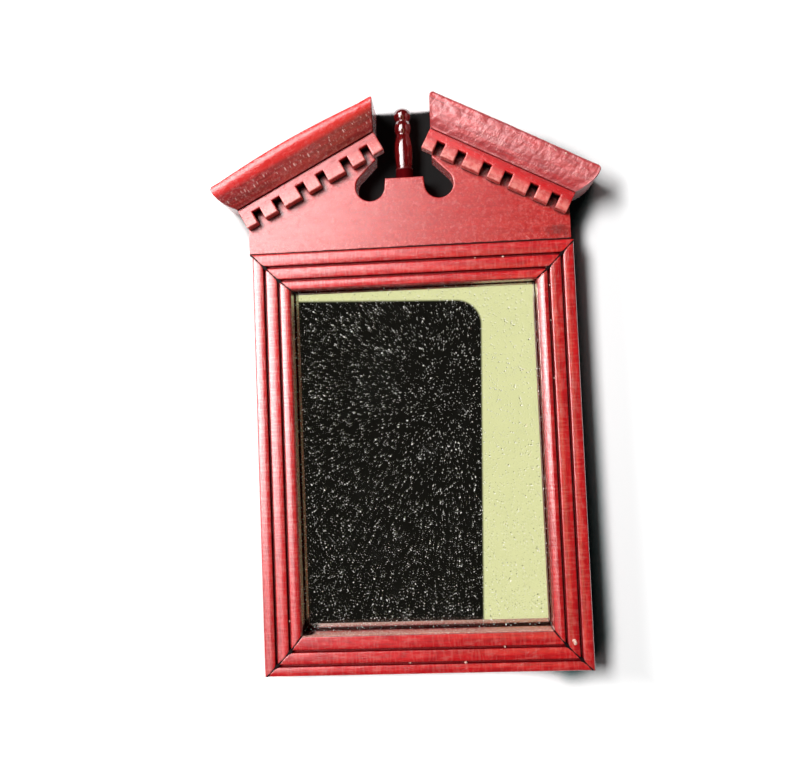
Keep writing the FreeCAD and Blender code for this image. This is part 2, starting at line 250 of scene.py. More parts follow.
WALL_DEPTH = 0.3
SURROUND_ACROSS = (3, 33)
SURROUND_UP = (13, 51)
GAP_MIDDLE = -0.8
OPEN_WALL = (1.8, 1.8, 1.8, 1)
NEAR_WALL = (0.88, 0.88, 0.88, 1)
BOUNCE_CANCELLING_TINT = (0.45, 0.88, 0.88, 1)
NO_LIGHT = (0.0, 0.0, 0.0, 1)
wall = upright_sheet("wall", -1500, 1500, -1500, 1500, WALL_DEPTH)
material, tree = new_material("pale wall")
spot = split(tree, place_in_mm(tree))
beside = off_from(tree, spot["X"], *SURROUND_ACROSS)
beyond = off_from(tree, spot["Z"], *SURROUND_UP)
away = larger(tree, beside, beyond)
# Painted light: below the frame the wall is painted paler, which takes away part of its shadow.
below = times(tree, remap(tree, spot["Z"], -37, -40.5), remap(tree, spot["X"], 28, 10))
paleness = larger(tree, remap(tree, away, 1, 14), below)
# Painted shadow: ambient occlusion and the masks for the pediment's gaps and the lee of the right
# stile darken the wall's colour.
openness = node(tree, "AmbientOcclusion", {"Distance": 7 * MM}, samples=12).outputs["AO"]
from_gap = off_from(tree, spot["X"], GAP_MIDDLE)
gap_shadow_paint = times(tree, remap(tree, from_gap, 10, 6), remap(tree, spot["Z"], 35, 40))
gap_shadow_paint = times(tree, gap_shadow_paint, remap(tree, spot["Z"], 64.2, 62.4, 0.0, 0.6))
lee_shadow_paint = times(tree, remap(tree, spot["X"], 14, 26), remap(tree, spot["Z"], 30, -35, 0.24, 0.32))
openness = minus(tree, openness, larger(tree, gap_shadow_paint, lee_shadow_paint))
openness = plus(tree, openness, times(tree, below, 0.3))
lit = remap(tree, openness, 0.36, 0.62, 0.015, 1.0)
shade = blend(tree, paleness, NEAR_WALL, OPEN_WALL)
# A painted tint beside the right stile, where the wall is darkest, cancels the red light bounced
# onto it.
bounce_cancelling_share = times(tree, remap(tree, lit, 0.75, 0.15), remap(tree, spot["X"], 14, 26))
shade = blend(tree, bounce_cancelling_share, shade, BOUNCE_CANCELLING_TINT)
shade = blend(tree, lit, NO_LIGHT, shade)
plaster = node(tree, "BsdfDiffuse", {"Color": shade})
from_behind = node(tree, "NewGeometry").outputs["Backfacing"]
clear = node(tree, "BsdfTransparent")
shown = node(tree, "MixShader", {0: from_behind, 1: plaster.outputs[0], 2: clear.outputs[0]})
show(tree, shown)
wall.data.materials.append(material)
hide_from(wall, "diffuse", "shadow")
print("Wall hung", WALL_DEPTH, "mm behind the back")

# %% [markdown]
# The window is an area lamp, large for its distance, which makes the shadows soft. It is placed
# by two angles, as it is seen from the mirror: to the left of straight ahead and above it. The
# lacquer's sheen needs a wider light than the shadows do, so the lamp itself is left out of
# reflections, and two bright sheets, which only reflections see, stand in its place. The one
# farther to the left is brighter, and draws a fine line of light on the left edge of each reed.
# A second lamp stands straight behind, for a look at the back.

# %% Light the window
def area_lamp(name, left_turn, lift, distance, size, power):
    """A square-cornered lamp that shines on the middle of the mirror."""
    data = bpy.data.lights.new(name, "AREA")
    data.shape = "RECTANGLE"
    data.size, data.size_y = size
    data.energy = power
    lamp = add_to_scene(name, data)
    turn, up = math.radians(left_turn), math.radians(lift)
    toward = Vector((-math.sin(turn) * math.cos(up), -math.cos(turn) * math.cos(up), math.sin(up)))
    lamp.location = Vector((0, 0, 12 * MM)) + toward * distance
    lamp.rotation_euler = toward.to_track_quat("Z", "Y").to_euler()
    return lamp


window = area_lamp(
    "window", left_turn=31, lift=15, distance=0.45, size=(0.14, 0.24), power=2.95)
hide_from(window, "glossy")
area_lamp(
    "light on the back", left_turn=180, lift=10, distance=0.6, size=(0.4, 0.4), power=3.0)


def glowing_sheet(name, edges, depth, strength, low_share):
    """White light that only reflections see, and that fades to a share towards the floor."""
    sheet = upright_sheet(name, *edges, depth)
    material, tree = new_material(name)
    up = split(tree, place_in_mm(tree))["Z"]
    fading = remap(tree, up, -190, 40, low_share * strength, strength)
    glow = node(tree, "Emission", {"Color": (1, 1, 1, 1), "Strength": fading})
    show(tree, glow)
    sheet.data.materials.append(material)
    hide_from(sheet, "camera", "diffuse", "transmission", "shadow", "volume_scatter")


glowing_sheet("sheen", (-420, -52, -260, 417), depth=-450, strength=7.6, low_share=0.2)
glowing_sheet("glint", (-560, -300, -200, 417), depth=-448, strength=16, low_share=0.0)
print("Lamps: a window on the left with its sheen, and one for the back")

# %% [markdown]
# A mirror shows whatever stands in front of it. Here that is a small card at the camera's own
# distance, which only reflections see: a dark flag, put up as studios do to keep glare off the
# glass, with pale yellow-green along its top and right. It leans a little, and its corner is
# rounded. Behind it, a dark cloth fills the rest of the view, so that the lacquer keeps its deep
# colour.

# %% Stand the cards in front
CARD_DEPTH = -141
CLOTH_DEPTH = -560
FLAG_LEAN = -2.1
FLAG_RIGHT = 17.1
FLAG_TOP = 44.8
FLAG_CORNER = 9
EDGE_BLUR = 0.5
FLAG_DARK = paint(21, 20, 17)
PALE_EDGE = paint(232, 232, 176)
CLOTH_DARK = paint(26, 22, 20)
card = upright_sheet("card", -51, 41, -75, 53, CARD_DEPTH)
material, tree = new_material("card")
spot = split(tree, place_in_mm(tree, (0, FLAG_LEAN, 0)))
past_side = larger(tree, minus(tree, spot["X"], FLAG_RIGHT - FLAG_CORNER), 0)
past_top = larger(tree, minus(tree, spot["Z"], FLAG_TOP - FLAG_CORNER), 0)
past = node(tree, "CombineXYZ", {"X": past_side, "Y": past_top})
from_corner = node(tree, "VectorMath", {0: past.outputs[0]}, operation="LENGTH").outputs["Value"]
pale = remap(tree, from_corner, FLAG_CORNER - EDGE_BLUR, FLAG_CORNER + EDGE_BLUR)
shade = blend(tree, pale, FLAG_DARK, PALE_EDGE)
glow = node(tree, "Emission", {"Color": shade, "Strength": 1.0})
show(tree, glow)
card.data.materials.append(material)

cloth = upright_sheet("dark cloth", -1500, 1500, -1500, 1500, CLOTH_DEPTH)
material, tree = new_material("dark cloth")
glow = node(tree, "Emission", {"Color": CLOTH_DARK, "Strength": 1.0})
show(tree, glow)
cloth.data.materials.append(material)
for sheet in (card, cloth):
    hide_from(sheet, "camera", "diffuse", "shadow", "volume_scatter")
print("Card stands", -CARD_DEPTH, "mm in front, seen in reflections only")

# %% [markdown]
# ## Effects that several finishes share
# Wood grain, worn edges with dirty hollows, specks and scratches turn up in more than one
# finish, so each is a node group: built once, with named inputs and outputs, and placed in
# every material with its own values. All of them read places in millimetres.

# %% A helper for node groups
def new_group(name, inputs, outputs):
    """An empty shader group with (name, socket kind, starting value) inputs."""
    group = bpy.data.node_groups.new(name, "ShaderNodeTree")
    for label, kind, start in inputs:
        socket = group.interface.new_socket(
            label, in_out="INPUT", socket_type=f"NodeSocket{kind}")
        if start is not None:
            socket.default_value = start
    for label, kind in outputs:
        group.interface.new_socket(label, in_out="OUTPUT", socket_type=f"NodeSocket{kind}")
    given = group.nodes.new("NodeGroupInput").outputs
    made = group.nodes.new("NodeGroupOutput").inputs
    return group, given, made


# %% [markdown]
# Grain is noise that is drawn out along the wood. One slow noise gives the figure, the light
# and dark bands of the stain, and a fine one gives the pores, short dark dashes.

# %% Group: wood grain
grain_group, given, made = new_group(
    "wood grain", [("Place", "Vector", None)], [("Figure", "Float"), ("Pores", "Float")])
tree = grain_group
banded = drawn(tree, given["Place"], (0.09, 1.3, 1.3))
figure = node(tree, "TexNoise", {
    "Vector": banded, "Scale": 1.0, "Detail": 6.0, "Roughness": 0.62, "Distortion": 0.5})
tree.links.new(remap(tree, figure.outputs["Fac"], 0.34, 0.66), made["Figure"])
pores = soft_noise(tree, drawn(tree, given["Place"], (0.6, 6.5, 6.5)), 1.0, 2.0)
tree.links.new(remap(tree, pores, 0.55, 0.7), made["Pores"])
print("Group made:", grain_group.name)

# %% [markdown]
# Stain rubs off the sharp edges and collects in the hollows. The Bevel node finds edges: where
# it would turn the surface, an edge is near, and the finishes pale it, as wear and partly as a
# painted highlight. Ambient occlusion finds the hollows, which the finishes darken as grime and
# also as painted shade. The group also passes on the bevelled normal, so that each edge catches
# light as a softened one does.

# %% Group: edges and hollows
edge_group, given, made = new_group(
    "edges and hollows",
    [("Edge Width", "Float", 0.1 * MM), ("Hollow Reach", "Float", 0.5 * MM)],
    [("Edge", "Float"), ("Hollow", "Float"), ("Soft Normal", "Vector")])
tree = edge_group
softened = node(tree, "Bevel", {"Radius": given["Edge Width"]}, samples=6).outputs[0]
true_normal = node(tree, "NewGeometry").outputs["Normal"]
match = node(tree, "VectorMath", {0: softened, 1: true_normal}, operation="DOT_PRODUCT")
turned = remap(tree, match.outputs["Value"], 0.97, 0.8)
open_share = node(tree, "AmbientOcclusion", {"Distance": given["Hollow Reach"]}, samples=8)
hollow = remap(tree, open_share.outputs["AO"], 0.74, 0.42)
outward = minus(tree, turned, times(tree, hollow, 1.5))
tree.links.new(larger(tree, outward, 0.0), made["Edge"])
tree.links.new(hollow, made["Hollow"])
tree.links.new(softened, made["Soft Normal"])
print("Group made:", edge_group.name)

# %% [markdown]
# Specks are dust, crumbs and nibs in the lacquer. A Voronoi texture scatters one point in each
# cell, and each point gets a size and a strength of its own from the cell's random colour.

# %% Group: specks
speck_group, given, made = new_group(
    "specks",
    [("Place", "Vector", None), ("Cells per mm", "Float", 1.0), ("Size", "Float", 0.1),
     ("Share", "Float", 0.5)],
    [("Specks", "Float")])
tree = speck_group
cells = node(tree, "TexVoronoi", {"Vector": given["Place"], "Scale": given["Cells per mm"]}).outputs
chance = node(tree, "SeparateColor", {0: cells["Color"]}).outputs
reach = times(tree, given["Size"], given["Cells per mm"])
reach = times(tree, reach, remap(tree, chance["Red"], 0.0, 1.0, 0.35, 1.0))
dot = calc(tree, "GREATER_THAN", minus(tree, reach, cells["Distance"]), 0.0)
kept = calc(tree, "LESS_THAN", chance["Green"], given["Share"])
dot = times(tree, dot, remap(tree, chance["Blue"], 0.0, 1.0, 0.35, 1.0))
tree.links.new(times(tree, dot, kept), made["Specks"])
print("Group made:", speck_group.name)

# %% [markdown]
# A hairline scratch is where a noise, stretched into long streaks, passes through one exact
# value. A second, slow noise keeps the scratches to a few patches.

# %% Group: scratches
scratch_group, given, made = new_group(
    "scratches",
    [("Place", "Vector", None), ("Turn", "Vector", None), ("Width", "Float", 0.008)],
    [("Scratches", "Float")])
tree = scratch_group
turned_place = drawn(tree, given["Place"], (1, 1, 1), given["Turn"])
streaks = soft_noise(tree, drawn(tree, turned_place, (0.05, 1.1, 1.1)), 1.0, 1.0)
line = calc(tree, "LESS_THAN", off_from(tree, streaks, 0.5), given["Width"])
patch = soft_noise(tree, given["Place"], 0.22, 2.0)
somewhere = remap(tree, patch, 0.55, 0.62)
tree.links.new(times(tree, line, somewhere), made["Scratches"])
print("Group made:", scratch_group.name)

# %% [markdown]
# Cutters and sandpaper leave short strokes: across the grain on the mouldings, where a blade
# chattered, and slanting on the crowns, which were shaped by hand. The group gives them as a
# height, from a noise that is drawn out along the stroke.

# %% Group: tool marks
tool_group, given, made = new_group(
    "tool marks",
    [("Place", "Vector", None), ("Turn", "Vector", None), ("Stretch", "Vector", None)],
    [("Strokes", "Float")])
tree = tool_group
turned_place = drawn(tree, given["Place"], (1, 1, 1), given["Turn"])
drawn_out = drawn(tree, turned_place, given["Stretch"])
strokes = node(tree, "TexNoise", {
    "Vector": drawn_out, "Scale": 1.0, "Detail": 3.0, "Distortion": 0.3})
tree.links.new(remap(tree, strokes.outputs["Fac"], 0.3, 0.7), made["Strokes"])
print("Group made:", tool_group.name)

# %% [markdown]
# The opening's own walls are dusty, most of all the sill at the bottom, and the inner reeds of
# the stiles roll over towards them. Both follow from how far a point lies outside the opening,
# which this group measures for the four sides of the frame.

# %% Group: sight edge
SIGHT_HALF_WIDTH = 21.825
SIGHT_HALF_HEIGHT = 30.4
sight_group, given, made = new_group(
    "sight edge",
    [("Place", "Vector", None), ("Roll Reach", "Float", 1.0)],
    [("Wall", "Float"), ("Sill", "Float"), ("Roll", "Float")])
tree = sight_group
spot = split(tree, given["Place"])
beside = off_from(tree, spot["X"], 0.0, SIGHT_HALF_WIDTH)
beyond = off_from(tree, spot["Z"], 0.0, SIGHT_HALF_HEIGHT)
outside = larger(tree, beside, beyond)
tree.links.new(remap(tree, outside, 0.04, 0.3, 1.0, 0.0), made["Wall"])
tree.links.new(remap(tree, spot["Z"], -29.5, -30.3), made["Sill"])
share = calc(tree, "DIVIDE", beside, given["Roll Reach"])
roll = node(tree, "Clamp", {"Value": minus(tree, 1.0, share)}).outputs[0]
tree.links.new(roll, made["Roll"])
print("Group made:", sight_group.name)

# %% [markdown]
# ## Stained and lacquered wood
# Nearly all of the mirror is the same red finish, with small differences from piece to piece.
# One function builds what they share: stain in two depths that follow the figure, dark pores,
# nearly black hollows, which are grime and painted shade, pale edges, which are wear and partly
# a painted highlight, and a semi-gloss film that is never quite even. What only some pieces have
# comes in as layers, small functions that change the colour, the height of the film and its
# dullness. The grain is turned to run along each piece, as the joiner cut it.

# %% The stained wood finish
FRAME_STAIN = (paint(180, 14, 22), paint(209, 27, 31))
BOARD_STAIN = (paint(176, 29, 30), paint(189, 34, 32))
CROWN_STAIN = (paint(116, 14, 20), paint(158, 26, 30))
HOLLOW_GRIME_AND_SHADE = paint(96, 6, 12)
DEEP_GRIME_AND_SHADE = paint(14, 2, 3)
PALE_WEAR_AND_SHEEN = paint(236, 156, 144)
RED_WEAR_AND_HIGHLIGHT = paint(232, 92, 62)
PORE_STAIN = paint(90, 4, 12)
THICK_FILM = paint(132, 4, 20)


def stained_wood(name, stain, grain_turn, layers=(), gloss=0.24, pale_edges=0.4, edge_colour=PALE_WEAR_AND_SHEEN,
                 edge_width=0.12, hollow_reach=0.9, hollow_tone=HOLLOW_GRIME_AND_SHADE, coat=0.0,
                 pores=0.3, relief=0.02, scratched=0.4):
    """Red stain and lacquer over wood whose grain runs along X once turned by grain_turn.

    Edge width, hollow reach and relief, the height of the film's bumps, are in millimetres.
    """
    material, tree = new_material(name)
    place = place_in_mm(tree, grain_turn)
    grain = use(tree, grain_group, {"Place": place})
    edges = use(tree, edge_group, {
        "Edge Width": edge_width * MM, "Hollow Reach": hollow_reach * MM})
    nibs = use(tree, speck_group, {
        "Place": place, "Cells per mm": 1.3, "Size": 0.05, "Share": 0.35})["Specks"]
    scratch = use(tree, scratch_group, {
        "Place": place, "Turn": tilt(35), "Width": 0.006})["Scratches"]
    patches = soft_noise(tree, place, 1.1, 4.0)
    peel = soft_noise(tree, place, 3.2, 4.0, roughness=0.7)

    colour = blend(tree, grain["Figure"], *stain)
    colour = blend(tree, times(tree, grain["Pores"], pores), colour, PORE_STAIN)
    # The pale edges are partly wear and partly a painted highlight, where edges would catch the
    # window.
    paled = times(tree, edges["Edge"], remap(tree, patches, 0.42, 0.6, 0.0, pale_edges))
    colour = blend(tree, paled, colour, edge_colour)
    colour = blend(tree, times(tree, nibs, 0.45), colour, PALE_WEAR_AND_SHEEN)
    height = times(tree, grain["Pores"], -0.5)
    height = plus(tree, height, peel)
    height = plus(tree, height, nibs)
    height = minus(tree, height, times(tree, scratch, scratched))
    dull = edges["Hollow"]
    for layer in layers:
        colour, height, dull = layer(tree, colour, height, dull)
    # Painted shade: the hollows are darkened towards the hollow tone, as grime and as the shade
    # that falls in them.
    colour = blend(tree, edges["Hollow"], colour, hollow_tone)

    bumps = node(tree, "Bump", {
        "Height": height, "Distance": relief * MM, "Strength": 1.0,
        "Normal": edges["Soft Normal"]})
    roughness = remap(tree, patches, 0.3, 0.7, gloss - 0.04, gloss + 0.05)
    roughness = plus(tree, roughness, times(tree, dull, 0.5))
    glossy = minus(tree, 1.0, larger(tree, edges["Hollow"], dull))
    shader = node(tree, "BsdfPrincipled", {
        "Base Color": colour, "Roughness": roughness, "Normal": bumps.outputs[0],
        "Specular IOR Level": glossy,
        "Coat Weight": times(tree, glossy, coat),
        "Coat Roughness": gloss,
    })
    show(tree, shader)
    return material


def dress(piece, material):
    """Gives a solid or a new piece its finish."""
    piece.data.materials.clear()
    piece.data.materials.append(material)


# %% [markdown]
# The frame has four layers of its own. Dust lies on the walls of the opening, most of all on the
# front of the sill, with a black blot in the lower left corner. The stiles' inner reeds roll over
# towards the glass. The blade's chatter crosses the reeds as fine strokes, and the film is milky
# in some places and thick and deep red in others. The milky patches are partly painted sheen.

# %% Layers for the frame
WALL_DUST = paint(214, 178, 158)
SILL_GRAIN = paint(250, 238, 226)
BLOT = (-21.4, -3.6, -30.4)
ALONG_X = (0, 0, 0)
ALONG_Z = (0, 90, 0)


def sight_walls(tree, colour, height, dull):
    place = place_in_mm(tree)
    sight = use(tree, sight_group, {"Place": place})
    grit = soft_noise(tree, place, 7.0, 3.0)
    depth = split(tree, place)["Y"]
    thick = times(tree, sight["Wall"], remap(tree, sight["Sill"], 0, 1, 0.2, 1.0))
    thick = times(tree, thick, remap(tree, depth, -2.9, -4.6, 0.08, 0.85))
    thick = times(tree, thick, remap(tree, grit, 0.42, 0.58, 0.25, 1.0))
    colour = blend(tree, thick, colour, WALL_DUST)
    grains = use(tree, speck_group, {
        "Place": place, "Cells per mm": 4.0, "Size": 0.13, "Share": 0.75})["Specks"]
    grains = times(tree, grains, times(tree, sight["Wall"], sight["Sill"]))
    colour = blend(tree, grains, colour, SILL_GRAIN)
    arris = times(tree, sight["Wall"], minus(tree, 1.0, sight["Wall"]))
    colour = blend(tree, times(tree, arris, 3.0), colour, HOLLOW_GRIME_AND_SHADE)
    from_blot = node(tree, "VectorMath", {0: place, 1: BLOT}, operation="DISTANCE").outputs["Value"]
    from_blot = plus(tree, from_blot, grit)
    blot = remap(tree, from_blot, 2.6, 1.8)
    dull = larger(tree, larger(tree, dull, thick), blot)
    return blend(tree, blot, colour, DEEP_GRIME_AND_SHADE), height, dull


def rolled_reed(reach, drop):
    """Rolls an inner reed over by a drop, in hundredths of a millimetre, within a reach."""
    def layer(tree, colour, height, dull):
        sight = use(tree, sight_group, {"Place": place_in_mm(tree), "Roll Reach": reach})
        lowered = times(tree, sight["Roll"], drop / 2)
        return colour, minus(tree, height, lowered), dull
    return layer


def chatter(turn):
    """Strokes across a moulding whose length runs along X once turned."""
    def layer(tree, colour, height, dull):
        strokes = use(tree, tool_group, {
            "Place": place_in_mm(tree, turn), "Turn": (0, 0, 0), "Stretch": (2.4, 0.4, 0.4),
        })["Strokes"]
        colour = blend(tree, remap(tree, strokes, 0.4, 1.0, 0.0, 0.09), colour, PALE_WEAR_AND_SHEEN)
        return colour, plus(tree, height, times(tree, strokes, 0.35)), dull
    return layer


def cloudy_film_and_sheen(turn):
    """Milky, partly painted sheen, and deep red patches, a little longer along than across."""
    def layer(tree, colour, height, dull):
        drawn_out = drawn(tree, place_in_mm(tree, turn), (0.4, 1.1, 1.1))
        clouds = soft_noise(tree, drawn_out, 1.0, 4.0, roughness=0.6)
        colour = blend(tree, remap(tree, clouds, 0.5, 0.36, 0.0, 0.32), colour, THICK_FILM)
        # Painted sheen, in part: the milky patches are paled.
        colour = blend(tree, remap(tree, clouds, 0.52, 0.68, 0.0, 0.13), colour, PALE_WEAR_AND_SHEEN)
        return colour, height, dull
    return layer


# The bottom rail's edges are paled more, partly as a painted highlight along its reeds.
for rail, pale_edges in (("top_rail", 0.2), ("bottom_rail", 0.5)):
    dress(nodes[rail], stained_wood(
        f"{rail} stain", FRAME_STAIN, ALONG_X, [
            cloudy_film_and_sheen(ALONG_X), sight_walls, chatter(ALONG_X)],
        gloss=0.2, edge_width=0.34, pale_edges=pale_edges))
for stile, reach, drop, coat in (("left_stile", 0.5, 10, 0.55), ("right_stile", 1.3, 52, 1.0)):
    dress(nodes[stile], stained_wood(
        f"{stile} stain", FRAME_STAIN, ALONG_Z,
        [cloudy_film_and_sheen(ALONG_Z), sight_walls, rolled_reed(reach, drop), chatter(ALONG_Z)],
        gloss=0.17, coat=coat, edge_width=0.4, pale_edges=0.4))
print("Stained the frame")

# %% [markdown]
# The pediment board is flat, so its film is the smoothest, with only a fine mottle. Grime has
# gathered in the seam above the frame, more of it to the right, and a finger has left a dark
# smudge near the right end. The board's hollows under the teeth are painted near black, as
# painted shadow. The dentil strips were stained before they were cut to length. Their edges are
# a lighter, orange red, partly rubbed through and partly a painted highlight on the lower edges
# of the teeth, and their teeth are paler than the strip. Their notches are painted near black,
# as painted shadow.

# %% The board and the dentil strips
SEAM_HEIGHT = 37.3
SMUDGE = (26.4, -4.4, 38.9)
MOTTLE_RED = paint(128, 8, 20)
RAKE = 27.5


def board_grime(tree, colour, height, dull):
    place = place_in_mm(tree)
    spot = split(tree, place)
    uneven = soft_noise(tree, place, 1.4, 3.0)
    thickness = remap(tree, spot["X"], -26, 8, 0.02, 0.16)
    edge = plus(tree, thickness, times(tree, uneven, 0.25))
    above = minus(tree, spot["Z"], SEAM_HEIGHT)
    seam = remap(tree, minus(tree, above, edge), -0.06, 0.06, 0.92, 0.0)
    near = node(tree, "Mapping", {
        "Vector": place, "Location": [-part for part in SMUDGE]}).outputs[0]
    near = drawn(tree, near, (0.45, 1, 1))
    away = node(tree, "VectorMath", {0: near}, operation="LENGTH").outputs["Value"]
    away = plus(tree, away, times(tree, uneven, 2.0))
    smudge = remap(tree, away, 1.2, 2.6, 0.5, 0.0)
    colour = blend(tree, larger(tree, seam, smudge), colour, DEEP_GRIME_AND_SHADE)
    return colour, height, larger(tree, dull, seam)


def mottle(tree, colour, height, dull):
    """A fine unevenness of the film, in its colour and in its surface."""
    spots = soft_noise(tree, place_in_mm(tree), 2.6, 3.0, roughness=0.7)
    colour = blend(tree, remap(tree, spots, 0.5, 0.36, 0.0, 0.4), colour, MOTTLE_RED)
    colour = blend(tree, remap(tree, spots, 0.52, 0.66, 0.0, 0.22), colour, PALE_WEAR_AND_SHEEN)
    return colour, plus(tree, height, spots), dull


# Painted shadow: the board's hollows, in the notches and along the seams, darken to near black.
dress(nodes["pediment_board"], stained_wood(
    "pediment stain", BOARD_STAIN, ALONG_X, [mottle, board_grime], hollow_tone=DEEP_GRIME_AND_SHADE, pores=0.15,
    coat=0.15, hollow_reach=1.3, scratched=0.1))


def rubbed_teeth(turn, foot, strength):
    """Pales the teeth, which hang below a strip whose upper edge is at a foot height."""
    def layer(tree, colour, height, dull):
        place = place_in_mm(tree, turn)
        down = minus(tree, foot, split(tree, place)["Z"])
        uneven = soft_noise(tree, place, 1.6, 4.0)
        pale = remap(tree, uneven, 0.35, 0.6, 0.4 * strength, strength)
        paled = times(tree, remap(tree, down, 1.2, 3.2), pale)
        return blend(tree, paled, colour, PALE_WEAR_AND_SHEEN), height, dull
    return layer


LEFT_FOOT = 54.11
RIGHT_FOOT = 53.40
for side, turn, foot, stain, strength in (
        ("left", RAKE, LEFT_FOOT, BOARD_STAIN, 0.35),
        ("right", -RAKE, RIGHT_FOOT, FRAME_STAIN, 0.6)):
    turn = (0, turn, 0)
    # Painted highlight and shadow: the orange edges stand partly for the lit lower edges of the
    # teeth, and the near-black hollows for the shade in the notches.
    dress(nodes[f"{side}_dentil_strip"], stained_wood(
        f"{side} dentil stain", stain, turn, [rubbed_teeth(turn, foot, strength)], edge_colour=RED_WEAR_AND_HIGHLIGHT,
        pale_edges=1.0, edge_width=0.26, hollow_reach=1.7, hollow_tone=DEEP_GRIME_AND_SHADE))
print("Stained the board and the strips")

# %% [markdown]
# ## The crowns in mesh code
# The two crown mouldings are the most hand-made part: sawn short, returned at the eaves with a
# jigsaw and sanded by eye. The solids have their true sections, and the mesh built here adds
# what a person's hands left. It is a stack of level slices, because at each height above the
# foot a crown is a plain rectangle in plan. Only the place of its front and its two ends changes
# on the way up, so the slices lie closest together at the rounded top. The sections are lists of
# (height, reach) points: the left crown was planed nearly flat, the right one kept more of its
# bulge, and the returns at the eaves are full.

# %% The sections of the crowns
CROWN_HALF = 14.0
CROWN_FOOT = 6.9
CROWN_HEIGHT = 5.4
LEFT_FRONT = [(0, 0.0), (0.8, 0.5), (1.6, 0.93), (2.4, 1.3), (3.2, 1.64), (3.9, 1.95), (4.4, 2.05),
              (4.8, 2.0), (5.4, 1.84)]
RIGHT_FRONT = [(0, 0.0), (0.9, 0.72), (1.8, 1.26), (2.7, 1.64), (3.9, 1.93), (5.0, 2.05)]
RETURN_END = [(0, 0.0), (0.9, 0.81), (1.8, 1.44), (2.7, 1.87), (3.9, 2.2), (5.4, 2.2)]


def section_reach(section, height, top_round):
    """How far a slice stands out from the foot, along a smooth curve with a rounded top edge."""
    up, out = zip(*section)
    width = 0.25
    samples = [height + width * step / 4 for step in range(-4, 5)]
    reach = float(np.mean([np.interp(sample, up, out) for sample in samples]))
    into_round = min(max(0.0, height - (CROWN_HEIGHT - top_round)), top_round)
    return reach - top_round + math.sqrt(top_round ** 2 - into_round ** 2)


heights = list(np.linspace(0, 4.5, 30))
heights += [4.6, 4.7, 4.8, 4.88, 4.96, 5.04, 5.12, 5.19, 5.25, 5.3, 5.34, 5.37, 5.39, CROWN_HEIGHT]
print("A crown has", len(heights), "slices and stands out", CROWN_FOOT + 2.05, "mm")

# %% [markdown]
# Each slice is a ring of points: along the front, round the gap end, along the back and round
# the eaves end. Rings are joined by quads, and a grid closes the top and the foot. The upright
# arrises are eased, and the gap end is rounded over at the top. Then come the marks of the
# hand: a slow noise pushes the front in and out like shallow facets, and the top is lifted or
# lowered by a slow curve, which is how a crown that was sanded by eye differs from a ruled one.

# %% Slices and caps
ALONG = 170
ACROSS = 9
ARRIS = 0.16


def slice_ring(height, cut):
    """One ring of (along, depth, height) places that starts at the front of the eaves end."""
    front = -(CROWN_FOOT + section_reach(cut["section"], height, cut["top_round"]))
    eaves = -(CROWN_HALF + section_reach(RETURN_END, height, cut["return_round"]))
    into_round = min(max(0.0, height - (CROWN_HEIGHT - cut["gap_round"])), cut["gap_round"])
    pulled_in = cut["gap_round"] - math.sqrt(cut["gap_round"] ** 2 - into_round ** 2)
    gap = CROWN_HALF + height * math.tan(math.radians(RAKE)) - pulled_in
    steps = np.linspace(0, 1, ALONG + 1)
    easing = 0.5 - 0.5 * np.cos(math.pi * steps)
    run = eaves + (gap - eaves) * (0.75 * steps + 0.25 * easing)
    to_end = np.minimum(run - eaves, gap - run)
    fronts = front + ARRIS * np.clip(1 - to_end / ARRIS, 0, 1) ** 2
    facets = [
        noise.fractal(Vector((along * 0.7, height * 1.1, cut["seed"])), 1.0, 2.0, 3)
        for along in run
    ]
    fronts = fronts + cut["facet"] * np.clip(to_end / 0.5, 0, 1) * (0.5 + 0.5 * np.array(facets))
    depths = np.linspace(fronts[-1], 0, ACROSS + 1)
    eaves_depths = np.linspace(fronts[0], 0, ACROSS + 1)
    ring = list(zip(run, fronts))
    ring += [(gap, depth) for depth in depths[1:]]
    ring += [(along, 0.0) for along in run[-2::-1]]
    ring += [(eaves, depth) for depth in eaves_depths[-2:0:-1]]
    share = height / CROWN_HEIGHT
    raised = []
    for along, depth in ring:
        way = min(max((along + CROWN_HALF) / (2 * CROWN_HALF), 0.0), 1.0)
        lift = cut["middle_lift"] * math.sin(math.pi * way) + cut["gap_lift"] * way ** 2
        raised.append((along, depth, height + lift * share))
    return raised


def close_ring(mesh, ring):
    """Fills a ring with a grid between its front row and its back row."""
    front = ring[:ALONG + 1]
    gap_end = ring[ALONG:ALONG + ACROSS + 1]
    back = ring[ALONG + ACROSS:2 * ALONG + ACROSS + 1][::-1]
    eaves_end = [ring[0], *ring[:2 * ALONG + ACROSS:-1], back[0]]
    rows = [front]
    for row in range(1, ACROSS):
        inner = [
            mesh.verts.new(front[step].co.lerp(back[step].co, row / ACROSS))
            for step in range(1, ALONG)
        ]
        rows.append([eaves_end[row], *inner, gap_end[row]])
    rows.append(back)
    for near, far in zip(rows, rows[1:]):
        for step in range(ALONG):
            mesh.faces.new((near[step], near[step + 1], far[step + 1], far[step]))


# %% [markdown]
# The finished shape is turned to the rake, and the right crown is a mirrored left one. The
# numbers for the gap and the eaves are those of the pediment board. The two crowns differ in
# how they were finished: the left one's top rises in the middle, and the right one is rougher
# and rounder at its ends.

# %% Build both crowns
PEDIMENT_SHIFT = -0.77
GAP_HALF = 5.1
FRAME_TOP = 37.09
EAVES_RISE = 7.93


def finish_mesh(name, mesh):
    """Turns a mesh under construction into an object of the scene, and gives its data too."""
    data = bpy.data.meshes.new(name)
    mesh.to_mesh(data)
    mesh.free()
    return data, add_to_scene(name, data)


